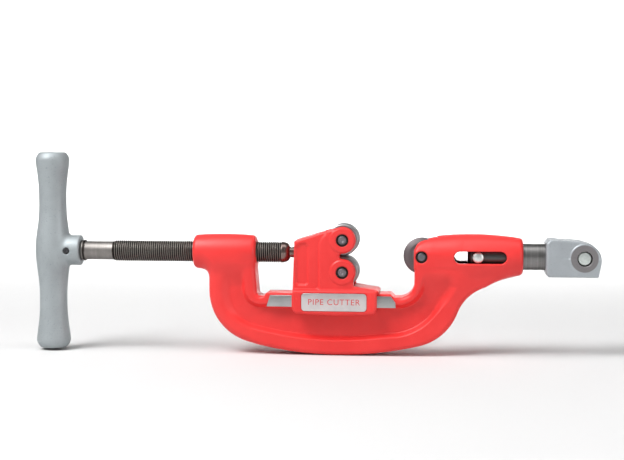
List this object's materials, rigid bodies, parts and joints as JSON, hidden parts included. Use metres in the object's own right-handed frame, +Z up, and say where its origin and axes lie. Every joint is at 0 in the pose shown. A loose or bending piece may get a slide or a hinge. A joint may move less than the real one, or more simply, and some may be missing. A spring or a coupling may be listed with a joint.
{
  "type": "pipe cutter",
  "caption": "Machine-mounted pipe cutter: a screw-fed saddle with two rollers on a C-frame, a cutter wheel, and a floating shaft ending in a swinging bracket.",
  "frame": {"origin": "on the pivot pin's axis, in the tool's middle plane", "axes": "+X from the T-handle towards the bracket, +Y to the back along the pivot pin, +Z up"},
  "size_m": [0.5159, 0.0773, 0.1822],
  "materials": {
    "red_paint": "semi-gloss sprayed enamel over a sand-cast surface",
    "cast_grey": "grey zinc-coated casting, satin",
    "bright_steel": "turned or ground steel",
    "plate": null,
    "black_oxide": "black oxide, oiled",
    "wheel_steel": "hardened tool steel, dark"
  },
  "bodies": {
    "carriage_pin": {"pivot_pin": "bright_steel"},
    "swivel": {"swivel_bracket": "cast_grey", "float_shaft": "bright_steel", "guide_pin": "bright_steel", "shaft_lock_pin": "bright_steel", "pin_set_screw": "black_oxide"},
    "frame": {"frame_casting": "red_paint", "wheel_pin": "bright_steel", "wheel_pin_ring_front": "black_oxide", "wheel_pin_ring_back": "black_oxide"},
    "cutter": {"cutter_wheel": "wheel_steel"},
    "saddle": {"slide_housing": "red_paint", "nameplate": "plate", "slide_keeper": "black_oxide", "keeper_screw_1": "black_oxide", "keeper_screw_2": "black_oxide", "screw_retaining_pin": "bright_steel", "upper_roller_pin": "bright_steel", "lower_roller_pin": "bright_steel", "upper_pin_ring_front": "black_oxide", "upper_pin_ring_back": "black_oxide", "lower_pin_ring_front": "black_oxide", "lower_pin_ring_back": "black_oxide"},
    "screw": {"feed_screw": "black_oxide", "screw_snap_ring": "black_oxide", "t_handle": "cast_grey", "handle_drive_pin": "bright_steel"},
    "upper_roller_body": {"upper_roller": "bright_steel"},
    "lower_roller_body": {"lower_roller": "bright_steel"}
  },
  "joints": [
    {"name": "bracket_swing", "type": "hinge", "parent": "carriage_pin", "child": "swivel", "pos_m": [0, 0, 0], "axis": [0, 1, 0], "range_deg": [0, 115]},
    {"name": "frame_float", "type": "slide", "parent": "swivel", "child": "frame", "axis": [1, 0, 0], "range_m": [-0.0195, 0.0155]},
    {"name": "wheel_spin", "type": "hinge", "parent": "frame", "child": "cutter", "pos_m": [-0.1443, 0, 0], "axis": [0, 1, 0], "continuous": true},
    {"name": "saddle_travel", "type": "slide", "parent": "frame", "child": "saddle", "axis": [1, 0, 0], "range_m": [-0.0285, 0.0262]},
    {"name": "screw_turn", "type": "hinge", "parent": "saddle", "child": "screw", "pos_m": [-0.2598, 0, 0.002], "axis": [1, 0, 0], "range_deg": [-5220, 4800]},
    {"name": "upper_roller_spin", "type": "hinge", "parent": "saddle", "child": "upper_roller_body", "pos_m": [-0.2153, 0, 0.0145], "axis": [0, 1, 0], "continuous": true},
    {"name": "lower_roller_spin", "type": "hinge", "parent": "saddle", "child": "lower_roller_body", "pos_m": [-0.2153, 0, -0.0145], "axis": [0, 1, 0], "continuous": true}
  ],
  "couplings": [
    {"joint": "saddle_travel", "follows": "screw_turn", "m_per_rad": 0.00031035}
  ]
}
